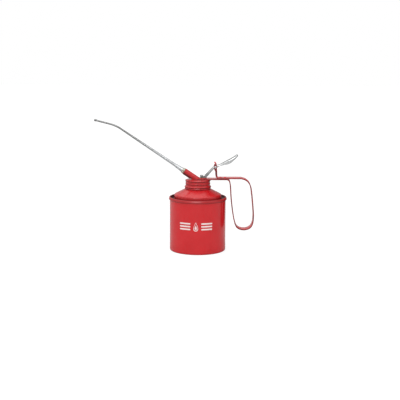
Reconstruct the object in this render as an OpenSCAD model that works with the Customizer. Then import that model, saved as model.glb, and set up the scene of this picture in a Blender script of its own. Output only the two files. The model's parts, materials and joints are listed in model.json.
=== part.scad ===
// Thumb-lever pump oil can.
// Origin: centre of the ring that the can stands on. +Z is up the can's axis,
// +X points to the handle and the spout points to -X.

/* [Tin body] */
// Outside diameter of the sheet cylinder
body_d = 78; // [76:1:84]
// Height of the top of the rolled seam above the table
body_h = 75; // [70:1:100]
// Thickness of the tin plate
sheet_t = 0.5; // [0.4:0.1:0.6]
// Radius of the steep wall between the gutter and the cone
ridge_r = 32.6; // [32:0.1:33]
// How far the rolled seam stands proud of the body
seam_proud = 1.4; // [1.2:0.1:1.6]

/* [Neck and cap] */
// Outside radius of the plain neck tube, under its thread
neck_r = 14.9; // [14.6:0.1:15.2]
// Plain inside radius of the cap, under its thread
cap_bore_r = 16.6; // [16.5:0.1:17]
// Rise of the thread in one turn
thread_pitch = 3.5; // [3.2:0.1:3.8]
// Height of each thread ridge
thread_h = 1.25; // [1:0.05:1.35]
// Turns of each thread ridge
thread_turns = 1.6; // [1:0.1:1.8]

/* [Pump] */
// Distance of the pump's axis in front of the can's axis
pump_x = 5.5; // [5:0.1:6]
// Radius of the plunger rod
rod_r = 1.5; // [1.3:0.1:1.6]
// Inside radius of the pump barrel
barrel_r = 4.8; // [4.6:0.1:5]
// Travel of the piston
stroke = 6.8; // [5:0.1:7]
// Turns of the return spring
spring_turns = 13; // [8:1:16]

/* [Spout] */
// Slope of the boss and of the straight part of the spout
spout_tilt = 33.7; // [30:0.1:40]
// Distance from the foot of the boss axis to the end of the boss
boss_len = 22.6; // [20:0.1:26]
// Distance along the same axis to the start of the bend near the tip
bend_start = 127.7; // [100:0.1:140]
// Radius of the bend
bend_r = 50; // [30:1:60]
// Angle of the bend
bend_angle = 19.5; // [10:0.5:30]
// Straight length after the bend
tip_len = 22; // [15:0.5:30]
// Outside radius of the tube at the boss
tube_base_r = 2.25; // [2:0.05:2.5]
// Outside radius of the tube from the bend on
tube_tip_r = 1.25; // [1.1:0.05:1.5]

/* [Handle] */
// Width of the handle strip
strip_w = 16; // [14:1:18]
// Thickness of the handle strip
strip_t = 1.5; // [1.2:0.1:1.6]

/* [Lever] */
// Pivot's distance in front of the can's axis
pivot_x = 24.2; // [24:0.1:24.4]
// Pivot's height
pivot_z = 116.8; // [116.5:0.1:117]
// Radius of the pivot pin
pivot_r = 1; // [0.8:0.1:1.1]
// Lever's swing as the pad is pressed, in degrees
lever_swing = 20; // [10:1:22]
// Thickness of the lever's sheet
lever_t = 1; // [0.8:0.1:1.2]
// Outside width of the lever at the pivot
lever_w = 8; // [7:0.5:8.5]
// Outside width of the thumb pad
pad_w = 13; // [10:0.5:15]

/* [Hidden] */
$fn = 72;
run = 0.05;                     // radial clearance of a running fit
gap = 0.05;                     // gap between pieces that are soldered or pressed
body_r = body_d / 2;
seam_r = body_r + seam_proud - sheet_t / 2;  // middle of the sheet at the seam's widest place
cap_bottom = body_h + 11.1;
neck_top = body_h + 22.6;
cap_under = neck_top + 0.9;     // underside of the cap's top
cap_t = 0.7;
cap_top = cap_under + cap_t;
strip_top = cap_top + strip_t;  // top of the strip's first layer
base_top = cap_top + 2.2;       // top of the pump head's round base
thread_z = neck_top - 7.6;      // middle of the neck thread's lower end
rivet_x = [31.5, 37.5];         // places of the rivets along the doubled strip
rivet_r = 1.2;
head_base_r = 6.5;              // radius of the pump head's round base
stem_r = 5.6;
stem_bottom = cap_under - 9.5;
spigot_bottom = stem_bottom - 4;
stem_washer_t = 0.6;
packing_bottom = cap_top - 1.6;
gland_bottom = cap_top + 0.2;
gland_r = 2.8;                  // radius of the bore that holds the packing
gland_flange_r = 3.7;
barrel_t = 0.7;
barrel_bottom = 12;
foot_plate_t = 2.4;             // thickness of the foot valve below the barrel
foot_seat = 13;
ball_r = 2;
foot_bore = 1.5;
rod_bottom = 19.4;
piston_top = 28.5;
cup_bottom = 23.2;
cup_h = 2.8;
cup_washer_t = 0.8;
boss_r = 4.5;
boss_foot = cap_top - 1.4;      // height where the boss axis crosses the can's axis
boss_seat = 8;                  // distance along the boss axis to the outlet ball's seat
outlet_ball_r = 1.75;
outlet_bore = 1.1;
ferrule_r = 2.55;               // radius of the ferrule's part inside the boss
nut_len = 3;                    // length of the spout nut
bend_lap = 0.1;                 // angle by which the bend runs into the straight stretches
pin_z = cap_top + 4.4;          // cross pin's height at rest
pin_r = 0.8;
foot_h = 3.2;                   // height of the lever's fork
upright_in = 4.6;               // half the gap between the upright's ears

// ---------- plane curves ----------

// Points of an arc, from angle a0 to a1
function arc(c, r, a0, a1, n = 6) =
    [for (i = [0:n]) let (a = a0 + (a1 - a0) * i / n) c + r * [cos(a), sin(a)]];

function unit(v) = v / norm(v);
function left_of(v) = [-v[1], v[0]];

// Sideways direction at point i of a path, lengthened at a corner to keep the thickness
function side(p, i) =
    let (last = len(p) - 1,
         a = left_of(unit(p[max(i, 1)] - p[max(i, 1) - 1])),
         b = left_of(unit(p[min(i, last - 1) + 1] - p[min(i, last - 1)])))
    (a + b) / (1 + a * b);

// Outline of a sheet of thickness t whose middle follows the path p
function sheet_outline(p, t) =
    concat([for (i = [0:len(p) - 1]) p[i] + side(p, i) * t / 2],
           [for (i = [len(p) - 1:-1:0]) p[i] - side(p, i) * t / 2]);

// Smooth curve through the points p, with n steps between neighbours
function smooth(p, n = 6) =
    let (last = len(p) - 1)
    concat([for (i = [0:last - 1], k = [0:n - 1])
        let (t = k / n, p0 = p[max(i - 1, 0)], p1 = p[i], p2 = p[i + 1], p3 = p[min(i + 2, last)])
        0.5 * (2 * p1 + (p2 - p0) * t + (2 * p0 - 5 * p1 + 4 * p2 - p3) * t * t
            + (3 * p1 - p0 - 3 * p2 + p3) * t * t * t)],
        [p[last]]);

module turned(p) { rotate_extrude() polygon(p); }

// Side view drawn in X and Z, w wide across the middle plane
module across(w) { rotate([90, 0, 0]) linear_extrude(w, center = true) children(); }

// Cylinder along Y, w long, across the middle plane
module cross_cylinder(x, z, r, w) {
    translate([x, 0, z]) rotate([90, 0, 0]) cylinder(w, r, r, center = true);
}

// Pin along Y with a flat head outside each of the two faces at half on either side
module headed_pin(x, z, r, half, head_r, head_t) {
    cross_cylinder(x, z, r, 2 * half);
    for (s = [-1, 1]) translate([x, s * (half + head_t / 2), z])
        rotate([90, 0, 0]) cylinder(head_t, head_r, head_r, center = true);
}

// Places its children with Z along the spout's axis and with the origin at distance s
module on_spout(s) {
    translate([-s * cos(spout_tilt), 0, boss_foot + s * sin(spout_tilt)])
        rotate([0, spout_tilt - 90, 0]) children();
}

// ---------- threads and coils ----------

// Faces of a skin over rings of m points each, closed at both ends
function tube_faces(rings, m) = concat(
    [for (i = [0:rings - 2], j = [0:m - 1]) [i * m + j, i * m + (j + 1) % m, (i + 1) * m + j]],
    [for (i = [0:rings - 2], j = [0:m - 1])
        [i * m + (j + 1) % m, (i + 1) * m + (j + 1) % m, (i + 1) * m + j]],
    [for (j = [1:m - 2]) [0, j + 1, j]],
    [for (j = [1:m - 2]) [0, j, j + 1] + (rings - 1) * m * [1, 1, 1]]);

// Thread ridge from radius r0 to r1, outward or inward, whose middle starts at height z.
// Its height runs out to a low step at both ends.
module thread_ridge(r0, r1, z) {
    steps = ceil(thread_turns * 40);
    wide = 0.9;
    narrow = 0.45;
    function crest(i) = r0 + (r1 - r0) * min(1, 0.3 + i / 8, 0.3 + (steps - i) / 8);
    up = r1 > r0 ? 1 : -1;
    points = [for (i = [0:steps])
        let (turn = i * thread_turns / steps, a = 360 * turn, h = z + thread_pitch * turn)
        for (q = [[r0, -wide], [crest(i), -narrow], [crest(i), narrow], [r0, wide]])
            [q[0] * cos(a), q[0] * sin(a), h + up * q[1]]];
    polyhedron(points, tube_faces(steps + 1, 4));
}

// ---------- can ----------

module body_shell() {
    wall_r = body_r - sheet_t / 2;
    path = concat(arc([body_r - 2, 1.45], 2 - sheet_t / 2, -45, 0), [[wall_r, body_h - 1.8]]);
    color("firebrick") {
        turned(sheet_outline(path, sheet_t));
        rotate([0, 0, 86]) rotate_extrude(angle = 8)
            translate([body_r - gap, 3]) square([0.4, body_h - 8.5]);
    }
}

module base_plate() {
    wall_r = body_r - sheet_t * 1.5 - gap;
    fold = 1.2;
    ring_z = sheet_t / 2 + fold;
    path = concat([[0, 3.2]],
                  arc([wall_r - 4.2, 2], fold, 90, 0),
                  arc([wall_r - 1.8, ring_z], fold, 180, 270),
                  arc([wall_r - fold, ring_z], fold, 270, 360),
                  [[wall_r, 6]]);
    color("firebrick") turned(sheet_outline(path, sheet_t));
}

module shoulder() {
    neck_z = cap_bottom;
    ridge_round = 2.3;
    gutter_round = 1.8;
    gutter_z = body_h - 2;
    seam_in = body_r - sheet_t * 1.5 - 0.1;
    seam_round = 0.75;
    path = concat(
        [[neck_r + 0.1, neck_z], [neck_r + 1.7, neck_z], [neck_r + 2.9, neck_z - 0.3],
         [neck_r + 5.1, neck_z - 1.3], [neck_r + 9.7, neck_z - 3.7]],
        arc([ridge_r - ridge_round, body_h + 2], ridge_round, 61, 0),
        arc([ridge_r + gutter_round, gutter_z], gutter_round, 180, 270, 4),
        arc([seam_in - gutter_round, gutter_z], gutter_round, 270, 360, 4),
        arc([seam_in + seam_round, body_h - sheet_t / 2 - seam_round], seam_round, 180, 15, 8),
        [[seam_r - 0.3, body_h - 1.7], [seam_r - 0.05, body_h - 2.4], [seam_r, body_h - 2.9],
         [seam_r - 0.15, body_h - 3.3], [seam_r - 0.6, body_h - 3.5]]);
    color("firebrick") turned(sheet_outline(path, sheet_t));
}

module neck_ring() {
    flange_z = cap_bottom + sheet_t / 2 + gap;
    wall = 0.8;
    color("firebrick") {
        difference() {
            union() {
                translate([0, 0, flange_z - 2]) cylinder(neck_top - flange_z + 2, neck_r, neck_r);
                translate([0, 0, flange_z]) cylinder(0.5, neck_r + 1.6, neck_r + 1.6);
            }
            translate([0, 0, flange_z - 3]) cylinder(neck_top, neck_r - wall, neck_r - wall);
        }
        thread_ridge(neck_r - 0.3, neck_r + thread_h, thread_z);
    }
}

// ---------- cap ----------

module cap_gasket() {
    outer_r = cap_bore_r - 0.9;
    inner_r = neck_r - 1.5;
    color("dimgray") translate([0, 0, neck_top]) difference() {
        cylinder(cap_under - neck_top, outer_r, outer_r);
        translate([0, 0, -1]) cylinder(3, inner_r, inner_r);
    }
}

module screw_cap() {
    half = sheet_t / 2;
    r = cap_bore_r + half;
    lip_z = cap_top - 1.2;
    bead_z = cap_bottom + 3.2;
    path = concat(
        [[r + 0.85, cap_bottom + 0.3], [r + 1.05, cap_bottom + 1], [r + 0.8, cap_bottom + 1.9]],
        arc([r + 0.75, bead_z], 0.75, -60, 60),
        [[r + 0.35, bead_z + 1.2], [r, bead_z + 1.8], [r, bead_z + 3.4]],
        arc([r, bead_z + 4.3], 0.3, -90, 90),
        [[r, bead_z + 5.2], [r, lip_z - 1]],
        arc([r - 0.1, lip_z], 0.6, -40, 110),
        [[r - 1.6, cap_top - half], [r - 2.6, cap_top - half]]);
    color("firebrick") {
        turned(sheet_outline(path, sheet_t));
        difference() {
            translate([0, 0, cap_under]) cylinder(cap_t, r - 1.3, r - 1.3);
            translate([pump_x, 0, cap_under - 1]) cylinder(3, stem_r + run, stem_r + run);
        }
        thread_ridge(cap_bore_r + 0.2, cap_bore_r - thread_h, thread_z + thread_pitch / 2);
    }
}

// ---------- handle ----------

// Middle line of the strip's lower layer, the finger loop's inner strand and half its bottom
function strip_lower() =
    let (z = cap_top + strip_t / 2)
    concat([[-1, z], [39.6, z]],
           arc([39.6, z - 4.8], 4.8, 80, 15, 5),
           smooth([[45.3, z - 9], [46.7, z - 29], [49.5, z - 50], [52.6, z - 63],
                   [56.7, z - 68.6], [64.6, z - 70.6]]));

// Middle line of the loop's outer strand, from its bottom up to the lever's upright
function strip_upper() =
    let (z = cap_top + strip_t / 2)
    concat(smooth([[64.6, z - 70.6], [72.6, z - 68.2], [76.7, z - 61.6], [77.7, z - 51], [77, z - 40],
                   [75.9, z - 28], [74.3, z - 15], [72.8, z - 8.6], [70, z - 3.6], [65.6, z - 0.2],
                   [60, z + strip_t]], 5),
           [[28.2, z + strip_t]]);

module handle_strip() {
    z0 = cap_top;
    color("firebrick") difference() {
        union() {
            across(strip_w) polygon(sheet_outline(strip_lower(), strip_t));
            across(strip_w) polygon(sheet_outline(strip_upper(), strip_t));
            translate([-1, 0, z0]) cylinder(strip_t, strip_w / 2, strip_w / 2);
            upright();
        }
        translate([pump_x, 0, z0 - 1]) cylinder(4, stem_r + run, stem_r + run);
        rivet_places() translate([0, 0, z0 - 1]) cylinder(5, rivet_r, rivet_r);
        cross_cylinder(pivot_x, pivot_z, pivot_r, strip_w);
    }
}

// The strip's end, turned up, folded into two ears and cut out for the lever
module upright() {
    z0 = strip_top;
    ear_w = upright_in + strip_t;
    web = [[27.6, z0 + 0.6], [26.4, z0 + 1.8], [25.1, pivot_z + 3.6], [24.6, pivot_z + 5],
           [22.9, pivot_z + 7.2]];
    ear = [[27, z0 + 2.4], [26, z0 + 1.7], [24.9, z0 + 2.6], [24.3, z0 + 4.2], [23.8, pivot_z - 6],
           [22.8, pivot_z - 3.6], [22, pivot_z - 1.2], [22.1, pivot_z + 1.4], [23.1, pivot_z + 3.2],
           [24.6, pivot_z + 3.8], [25.7, pivot_z + 3]];
    difference() {
        union() {
            across(2 * ear_w) polygon(sheet_outline(web, strip_t));
            across(strip_w) polygon([[28.4, z0], [28.4, z0 + strip_t], [27.7, z0 + strip_t + 0.2],
                                     [26.9, z0 + 2.4], [25.6, z0 + 1.6], [26.4, z0]]);
        }
        translate([20, -upright_in, pivot_z - 5]) cube([10, 2 * upright_in, 8.7]);
    }
    difference() {
        across(2 * ear_w) polygon(ear);
        cube([200, 2 * upright_in, 400], center = true);
    }
}

module rivet_places() { for (x = rivet_x) translate([x, 0, 0]) children(); }

module handle_rivets() {
    layers = 2 * strip_t;
    dome_r = 2.7;
    dome_sunk = 1.8;            // depth of the dome's centre below the strip's face
    color("firebrick") rivet_places() translate([0, 0, cap_top]) {
        cylinder(layers, rivet_r - gap, rivet_r - gap);
        for (end = [0, 1]) translate([0, 0, end * layers]) mirror([0, 0, 1 - end]) rotate_extrude()
            polygon(concat([[0, 0]], arc([0, -dome_sunk], dome_r, asin(dome_sunk / dome_r), 90)));
    }
}

// ---------- pump head ----------

module pump_head() {
    passage_x = 0.95;
    passage_r = 0.6;
    color("firebrick") difference() {
        union() {
            translate([pump_x, 0, strip_top]) cylinder(base_top - strip_top, head_base_r, head_base_r);
            translate([pump_x, 0, stem_bottom]) cylinder(strip_top - stem_bottom, stem_r, stem_r);
            translate([pump_x, 0, spigot_bottom])
                cylinder(5, barrel_r - gap, barrel_r - gap);
            intersection() {
                on_spout(-8) cylinder(boss_len + 8, boss_r, boss_r);
                translate([-40, -10, strip_top]) cube([50, 20, 30]);
            }
        }
        translate([pump_x, 0, 0]) cylinder(200, rod_r + run, rod_r + run);
        translate([pump_x, 0, packing_bottom]) cylinder(30, gland_r, gland_r);
        // room in the boss for the gland nut's flange
        translate([pump_x, 0, base_top]) cylinder(30, gland_flange_r + 0.2, gland_flange_r + 0.2);
        // oil way: up through the stem, level through the base and into the boss
        translate([passage_x, 0, 0]) cylinder(base_top + passage_r / 2, passage_r, passage_r);
        translate([passage_x, 0, base_top]) rotate([0, -90, 0]) cylinder(6.6, passage_r, passage_r);
        on_spout(boss_seat - 1.6) cylinder(60, outlet_bore, outlet_bore);
        on_spout(boss_seat) cylinder(60, outlet_ball_r + 0.15, outlet_ball_r + 0.15);
        on_spout(boss_seat + 6) cylinder(60, ferrule_r + run, ferrule_r + run);
    }
}

module stem_washer() {
    color("sienna") translate([pump_x, 0, cap_under - stem_washer_t]) difference() {
        cylinder(stem_washer_t, 7, 7);
        translate([0, 0, -1]) cylinder(3, stem_r + run, stem_r + run);
    }
}

module head_lock_nut() {
    nut_h = 3.4;
    across_corners = 15;
    color("goldenrod") translate([pump_x, 0, cap_under - stem_washer_t - nut_h]) difference() {
        cylinder(nut_h, across_corners / 2, across_corners / 2, $fn = 6);
        translate([0, 0, -1]) cylinder(6, stem_r, stem_r);
    }
}

module gland_nut() {
    shank = base_top - gland_bottom;
    color("goldenrod") translate([pump_x, 0, gland_bottom]) difference() {
        union() {
            cylinder(shank, gland_r - gap, gland_r - gap);
            translate([0, 0, shank]) cylinder(0.45, gland_flange_r, gland_flange_r);
        }
        translate([0, 0, -1]) cylinder(9, rod_r + run, rod_r + run);
    }
}

module gland_packing() {
    color("tan") translate([pump_x, 0, packing_bottom]) difference() {
        cylinder(gland_bottom - packing_bottom, gland_r - gap, gland_r - gap);
        translate([0, 0, -1]) cylinder(9, rod_r + 0.02, rod_r + 0.02);
    }
}

module pump_barrel() {
    r = barrel_r + barrel_t;
    color("goldenrod") translate([pump_x, 0, barrel_bottom]) difference() {
        cylinder(stem_bottom - barrel_bottom, r, r);
        translate([0, 0, -1]) cylinder(200, barrel_r, barrel_r);
    }
}

module foot_valve() {
    cage_top = foot_seat + 6;
    cage_h = cage_top - barrel_bottom;
    color("goldenrod") translate([pump_x, 0, 0]) {
        difference() {
            union() {
                translate([0, 0, barrel_bottom - foot_plate_t]) cylinder(foot_plate_t, 6.2, 6.2);
                translate([0, 0, barrel_bottom]) cylinder(cage_h, barrel_r - gap, barrel_r - gap);
            }
            translate([0, 0, foot_seat]) cylinder(9, ball_r + 0.7, ball_r + 0.7);
            cylinder(40, foot_bore, foot_bore);
        }
        translate([0, 0, cage_top - 0.4]) cube([8, 1, 0.8], center = true);
    }
}

module suction_strainer() {
    top = barrel_bottom - foot_plate_t;
    bottom = 4.8;
    r = 4.6;
    wall = 0.5;
    hole_r = 0.5;
    color("gainsboro") translate([pump_x, 0, bottom]) difference() {
        cylinder(top - bottom, r, r);
        translate([0, 0, wall]) cylinder(9, r - wall, r - wall);
        for (a = [0:45:315], row = [0, 1])
            rotate([0, 0, a + row * 22.5]) translate([0, 0, 1.5 + row * 1.6])
                rotate([0, 90, 0]) cylinder(9, hole_r, hole_r);
    }
}

// Round wire coiled round the rod, between the piston and the pump head's spigot
module return_spring() {
    wire_r = 0.35;
    coil_r = 3.3;
    steps = spring_turns * 20;
    sides = 6;
    low = piston_top + wire_r + gap;
    high = spigot_bottom - wire_r - gap;
    points = [for (i = [0:steps])
        let (u = i / steps, a = 360 * spring_turns * u, h = low + (high - low) * u)
        for (j = [0:sides - 1])
            let (b = 360 * j / sides, r = coil_r + wire_r * cos(b))
            [r * cos(a), r * sin(a), h + wire_r * sin(b)]];
    color("lightgray") translate([pump_x, 0, 0])
        mirror([0, 1, 0]) polyhedron(points, [for (f = tube_faces(steps + 1, sides)) [f[2], f[1], f[0]]]);
}

module pivot_pin() {
    color("silver") headed_pin(pivot_x, pivot_z, pivot_r, upright_in + strip_t, 1.7, 0.7);
}

// ---------- balls ----------

module foot_ball() {
    rise = sqrt(ball_r * ball_r - foot_bore * foot_bore) + 0.02;
    color("lightsteelblue") translate([pump_x, 0, foot_seat + rise]) sphere(ball_r);
}

module outlet_ball() {
    rise = sqrt(outlet_ball_r * outlet_ball_r - outlet_bore * outlet_bore) + 0.02;
    color("lightsteelblue") on_spout(boss_seat + rise) sphere(outlet_ball_r);
}

// ---------- plunger ----------

module plunger_rod() {
    color("silver") difference() {
        translate([pump_x, 0, rod_bottom]) cylinder(pin_z + 1.7 - rod_bottom, rod_r, rod_r);
        cross_cylinder(pump_x, pin_z, pin_r, 9);
    }
}

module cross_pin() {
    color("silver") headed_pin(pump_x, pin_z, pin_r, lever_w / 2 + 0.15, 1.3, 0.6);
}

// Ring on the rod, from height z0 to z1
module on_rod(z0, z1, r) {
    translate([pump_x, 0, z0]) difference() {
        cylinder(z1 - z0, r, r);
        translate([0, 0, -1]) cylinder(z1 - z0 + 2, rod_r, rod_r);
    }
}

module piston() { color("goldenrod") on_rod(cup_bottom + cup_h, piston_top, barrel_r - 0.1); }

module piston_cup() {
    color("saddlebrown") difference() {
        on_rod(cup_bottom, cup_bottom + cup_h, barrel_r - run);
        translate([pump_x, 0, cup_bottom + 1]) difference() {
            cylinder(9, barrel_r - 1.1, barrel_r - 1.1);
            translate([0, 0, -1]) cylinder(20, rod_r + 1, rod_r + 1);
        }
    }
}

module cup_washer() { color("goldenrod") on_rod(cup_bottom - cup_washer_t, cup_bottom, barrel_r - 1); }

module piston_nut() {
    bottom = rod_bottom + 0.4;
    color("goldenrod") translate([pump_x, 0, bottom]) difference() {
        cylinder(cup_bottom - cup_washer_t - bottom, 3.2, 3.2, $fn = 6);
        translate([0, 0, -1]) cylinder(9, rod_r, rod_r);
    }
}

// ---------- lever ----------

// Place, in the lever's own resting frame, of the cross pin when the lever has swung by angle a
function pin_in_lever(a) =
    let (dx = pump_x - pivot_x, dz = pin_z - pivot_z + stroke * a / lever_swing)
    [pivot_x + dx * cos(a) - dz * sin(a), pivot_z + dx * sin(a) + dz * cos(a)];

// Slot that lets the cross pin rise straight while the lever swings
module pin_slot() {
    half = pin_r + run;
    path = [for (a = [-1:3:lever_swing + 2]) pin_in_lever(a)];
    last = len(path) - 1;
    across(2 * lever_w) polygon(sheet_outline(path, 2 * half));
    for (end = [0, last]) cross_cylinder(path[end][0], path[end][1], half, 2 * lever_w);
}

// Side view of the lever: fork, leg, pivot and thumb pad
function lever_side() =
    let (z = pin_z - foot_h / 2, x = pump_x - 2.6)
    concat(
        [[x + 0.9, z], [x + 8.8, z + 0.1], [x + 10.2, z + 1.6], [21.6, 113.8],
         [pivot_x, pivot_z - 2.2], [27.2, 116.4]],
        smooth([[31, 118.7], [35.8, 119.9], [40.7, 120.8], [45.1, 122.8], [50.1, 127.1], [55, 131.7]], 3),
        [[55.6, 132.7]],
        smooth([[54, 134.5], [49.6, 131], [45.2, 128.3], [40.2, 125.8], [35, 123], [29.4, 120.1]], 3),
        [[pivot_x, pivot_z + 2.2], [21.4, pivot_z + 0.7], [19.5, 115.6],
         [x + 7.4, z + foot_h + 0.5], [x + 6.4, z + foot_h], [x + 0.9, z + foot_h], [x, z + foot_h - 0.9],
         [x, z + 0.9]]);

// Top view of the lever, as narrow as its fork and as wide as its pad, less the margin m
module lever_plan(m) {
    w = lever_w / 2 - m;
    p = pad_w / 2 - m;
    half = concat([[-10, w], [29, w]], smooth([[33, w + 0.5], [39, p - 0.7], [45, p], [50, p - 0.3]], 4),
                  [[53, p - 1.2], [55, p - 3.4], [55.7 - m / 2, 0]]);
    linear_extrude(200) polygon(concat(half, [for (i = [len(half) - 1:-1:0]) [half[i][0], -half[i][1]]]));
}

module trigger_lever() {
    fork_end = pump_x + 7;
    color("silver") difference() {
        intersection() {
            across(40) polygon(lever_side());
            lever_plan(0);
        }
        // hollow under the web
        intersection() {
            translate([0.55, 0, -lever_t * 0.9]) across(40) polygon(lever_side());
            lever_plan(lever_t);
        }
        intersection() {
            translate([0.9, 0, -lever_t * 2.2]) across(40) polygon(lever_side());
            lever_plan(lever_t);
        }
        // open fork round the rod
        translate([fork_end - 40, lever_t - lever_w / 2, 0]) cube([40, lever_w - 2 * lever_t, 200]);
        pin_slot();
        cross_cylinder(pivot_x, pivot_z, pivot_r + run, 2 * pad_w);
    }
}

// ---------- spout ----------

module spout_nut() {
    grooves = 24;
    groove_r = 0.22;
    r = 4.2;
    color("gainsboro") on_spout(boss_len + gap) difference() {
        cylinder(nut_len - gap, r, r);
        translate([0, 0, -1]) cylinder(9, ferrule_r, ferrule_r);
        for (i = [0:grooves - 1])
            rotate([0, 0, i * 360 / grooves]) translate([r + run, 0, -1]) cylinder(9, groove_r, groove_r);
    }
}

module spout_ferrule() {
    bottom = boss_seat + 7;
    flange = boss_len + nut_len;
    flange_t = 1.6;
    bore_r = 1.35;
    color("gainsboro") on_spout(0) difference() {
        union() {
            translate([0, 0, bottom]) cylinder(flange - bottom, ferrule_r, ferrule_r);
            translate([0, 0, flange]) cylinder(flange_t, 3.3, 3.3);
            translate([0, 0, flange + flange_t]) cylinder(10.4, 3.1, 2.45);
        }
        translate([0, 0, boss_seat]) cylinder(60, bore_r, bore_r);
        translate([0, 0, boss_len + 5]) cylinder(60, tube_base_r, tube_base_r);
    }
}

// Outside of the tube, or its bore when the radii are smaller
module tube_solid(r0, r1, extra) {
    start = boss_len + 5;
    on_spout(start - extra) {
        straight = bend_start - start + extra;
        cylinder(straight, r0, r1);
        translate([0, 0, straight]) {
            translate([-bend_r, 0, 0]) rotate([90, bend_lap, 0])
                rotate_extrude(angle = bend_angle + 2 * bend_lap) translate([bend_r, 0]) circle(r1 + 0.01);
            translate([-bend_r, 0, 0]) rotate([0, -bend_angle, 0]) translate([bend_r, 0, 0])
                cylinder(tip_len + extra, r1, r1);
        }
    }
}

module spout_tube() {
    wall = 0.45;
    color("gainsboro") difference() {
        tube_solid(tube_base_r, tube_tip_r, 0);
        tube_solid(tube_base_r - wall, tube_tip_r - wall, 0.5);
    }
}

module spout_tip() {
    length = 3;
    chamfer = 0.3;
    r = tube_tip_r + 0.35;
    color("gainsboro") on_spout(bend_start) translate([-bend_r, 0, 0]) rotate([0, -bend_angle, 0])
        translate([bend_r, 0, tip_len - length]) difference() {
            union() {
                cylinder(chamfer, r - chamfer, r);
                translate([0, 0, chamfer]) cylinder(length - 2 * chamfer, r, r);
                translate([0, 0, length - chamfer]) cylinder(chamfer, r, r - chamfer);
            }
            translate([0, 0, -1]) cylinder(length + 2, tube_tip_r, tube_tip_r);
        }
}

body_shell();
base_plate();
shoulder();
neck_ring();
cap_gasket();
screw_cap();
handle_strip();
handle_rivets();
pump_head();
stem_washer();
head_lock_nut();
gland_nut();
gland_packing();
pump_barrel();
foot_valve();
suction_strainer();
return_spring();
pivot_pin();
foot_ball();
outlet_ball();
plunger_rod();
cross_pin();
piston();
piston_cup();
cup_washer();
piston_nut();
trigger_lever();
spout_nut();
spout_ferrule();
spout_tube();
spout_tip();
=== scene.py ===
"""Thumb-lever pump oil can: a red painted tin with a screw-on pump head, a plated spout and lever.

Shapes are written in millimetres, in the frame's axes: +Z up the can, +X to the handle,
-X to the spout's tip, -Y to the printed front.
"""

import json
import math

import bmesh
import bpy
from mathutils import Matrix, Vector


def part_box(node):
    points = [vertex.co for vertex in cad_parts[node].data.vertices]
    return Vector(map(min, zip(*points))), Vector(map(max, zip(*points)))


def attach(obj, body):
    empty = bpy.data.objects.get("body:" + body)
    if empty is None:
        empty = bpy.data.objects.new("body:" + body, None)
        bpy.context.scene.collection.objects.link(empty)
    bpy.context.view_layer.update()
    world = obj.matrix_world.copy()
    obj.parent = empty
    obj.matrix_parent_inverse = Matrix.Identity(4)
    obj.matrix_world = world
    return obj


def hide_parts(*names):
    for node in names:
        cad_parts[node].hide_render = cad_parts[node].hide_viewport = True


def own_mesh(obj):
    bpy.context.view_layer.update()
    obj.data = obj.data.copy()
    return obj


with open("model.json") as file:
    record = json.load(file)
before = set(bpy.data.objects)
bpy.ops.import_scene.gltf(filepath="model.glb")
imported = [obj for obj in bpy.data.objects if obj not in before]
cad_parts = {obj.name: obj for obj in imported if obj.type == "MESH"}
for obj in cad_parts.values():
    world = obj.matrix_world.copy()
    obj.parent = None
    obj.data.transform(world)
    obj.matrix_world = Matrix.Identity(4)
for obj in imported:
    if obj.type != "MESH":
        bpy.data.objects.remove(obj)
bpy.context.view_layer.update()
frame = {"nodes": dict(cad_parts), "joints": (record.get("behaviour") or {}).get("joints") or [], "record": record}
scene = bpy.context.scene
joints = {j["name"]: j for j in frame["joints"]}
MM = 0.001


def low(node):
    """Lowest corner of a CAD node, in millimetres."""
    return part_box(node)[0] / MM


def high(node):
    """Highest corner of a CAD node, in millimetres."""
    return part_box(node)[1] / MM


# ---------- sizes ----------

SHEET_T = 0.5
BODY_R = 39.0
BODY_WALL_R = BODY_R - SHEET_T / 2
SEAM_R = BODY_R + 1.4 - SHEET_T / 2
BODY_H = high("body_shell").z + 1.8
NECK_TOP = high("neck_ring").z
NECK_R = 14.9
CAP_TOP = high("screw_cap").z
CAP_BOTTOM = BODY_H + 11.1
CAP_WALL_R = 16.85
STRIP_T = 1.5
STRIP_W = 2 * high("handle_strip").y
HALF_STRIP = STRIP_W / 2
STRIP_TOP = CAP_TOP + STRIP_T
PUMP_X = (low("pump_barrel").x + high("pump_barrel").x) / 2
STEM_R = 5.6
ROD_R = high("plunger_rod").y
BASE_TOP = CAP_TOP + 2.2
PIVOT = Vector(joints["trigger_pivot"]["pos_m"]) / MM
PIVOT_R = 1.0
EAR_IN = 4.6
PIN_Z = (low("cross_pin").z + high("cross_pin").z) / 2
PIN_R = 0.8
SPOUT_FOOT = Vector(joints["spout_swivel"]["pos_m"]) / MM
SPOUT_AXIS = Vector(joints["spout_swivel"]["axis"]).normalized()
BOSS_R = 4.5
BOSS_LEN = 22.6
TUBE_BASE_R = 2.25
TUBE_TIP_R = 1.25
BEND_START = 127.7
BEND_R = 50.0
BEND_ANGLE = 19.5
TIP_LEN = 22.0
RIVETS_X = (31.5, 37.5)
THREAD_PITCH = 3.5
THREAD_START = NECK_TOP - 7.6
ROUND = 192  # segments of a large turned piece
SMOOTH_BELOW = 38  # degrees between two faces that are shaded as one


# ---------- plane curves ----------


def arc(cx, cz, r, start, end, n=10):
    """Points of an arc from angle start to end, in degrees."""
    steps = [math.radians(start + (end - start) * i / n) for i in range(n + 1)]
    return [(cx + r * math.cos(a), cz + r * math.sin(a)) for a in steps]


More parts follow.
